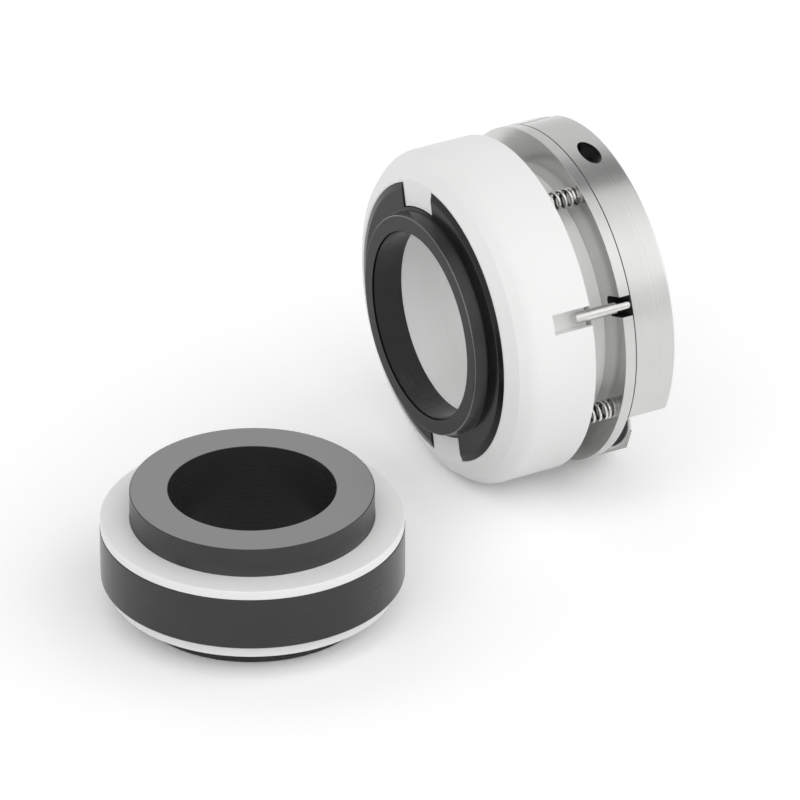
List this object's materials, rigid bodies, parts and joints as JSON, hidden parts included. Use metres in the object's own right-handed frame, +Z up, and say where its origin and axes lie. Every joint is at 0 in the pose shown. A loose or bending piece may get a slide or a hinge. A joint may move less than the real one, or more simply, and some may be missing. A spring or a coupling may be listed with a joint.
{
  "type": "component mechanical seal",
  "caption": "Outside-mounted PTFE bellows shaft seal: rotary head with face ring, springs, drive pins and split clamp collar, beside its stationary seat between gaskets.",
  "frame": {"origin": "on the head's shaft axis, at the rear edge of the PTFE body", "axes": "+X along the head's shaft axis towards the clamp collar, +Z up, the seat stands on its end towards -X and -Y"},
  "size_m": [0.1316, 0.0997, 0.0748],
  "materials": {
    "ptfe": "turned PTFE, satin white",
    "carbide": "lapped and ground silicon carbide, near black, satin to polished",
    "turned_steel": "turned stainless steel, bright satin",
    "spring_wire": "bright spring wire",
    "pin_steel": "ground steel pin, bright",
    "screw_steel": "black oxide steel"
  },
  "bodies": {
    "collar": {"spring_plate": "turned_steel", "clamp_half_1": "turned_steel", "clamp_half_2": "turned_steel", "clamp_screw_1": "screw_steel", "clamp_screw_2": "screw_steel", "drive_pin_1": "pin_steel", "drive_pin_2": "pin_steel", "spring_1": "spring_wire", "spring_2": "spring_wire", "spring_3": "spring_wire", "spring_4": "spring_wire", "seat_ring": "carbide", "upper_gasket": "ptfe", "lower_gasket": "ptfe"},
    "floating_face": {"ptfe_bellows": "ptfe", "face_ring": "carbide"}
  },
  "joints": [
    {"name": "face_float", "type": "slide", "parent": "collar", "child": "floating_face", "axis": [1, 0, 0], "range_m": [0, 0.004], "stiffness_N_per_m": 17000, "deforming": ["spring_1", "spring_2", "spring_3", "spring_4", "ptfe_bellows"]}
  ]
}
